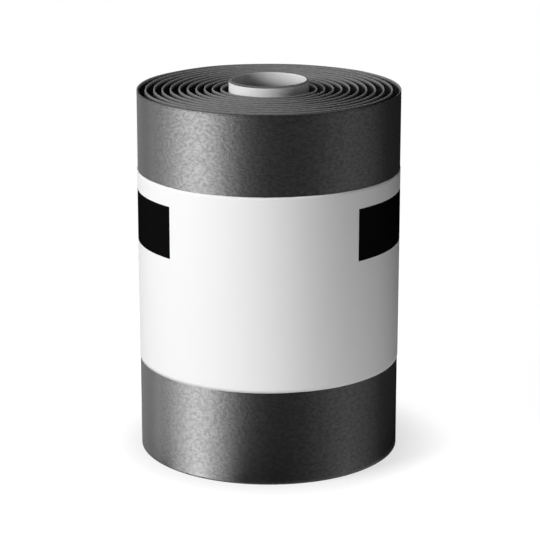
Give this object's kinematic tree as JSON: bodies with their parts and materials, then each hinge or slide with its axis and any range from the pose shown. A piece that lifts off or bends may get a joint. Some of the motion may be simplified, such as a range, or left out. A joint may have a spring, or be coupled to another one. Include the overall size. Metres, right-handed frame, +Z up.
{
  "type": "roll of roofing felt",
  "caption": "Standing roll of dark asphalt-saturated roofing felt wound on a pale open core tube, its turns showing on the ends, with a white paper band round its middle.",
  "frame": {"origin": "centre of the end that the roll stands on", "axes": "+Z up along the roll's axis, out of the end where the core stands proud; -Y is the front of the paper band"},
  "size_m": [0.3258, 0.3258, 0.4684],
  "materials": {
    "felt": "asphalt-saturated felt, dull with a faint sheen",
    "core_board": "smooth pale paperboard",
    "label_paper": "white printed paper with a black stripe"
  },
  "bodies": {
    "root": {"felt_roll": "felt", "core_tube": "core_board", "label_band": "label_paper"}
  },
  "joints": []
}
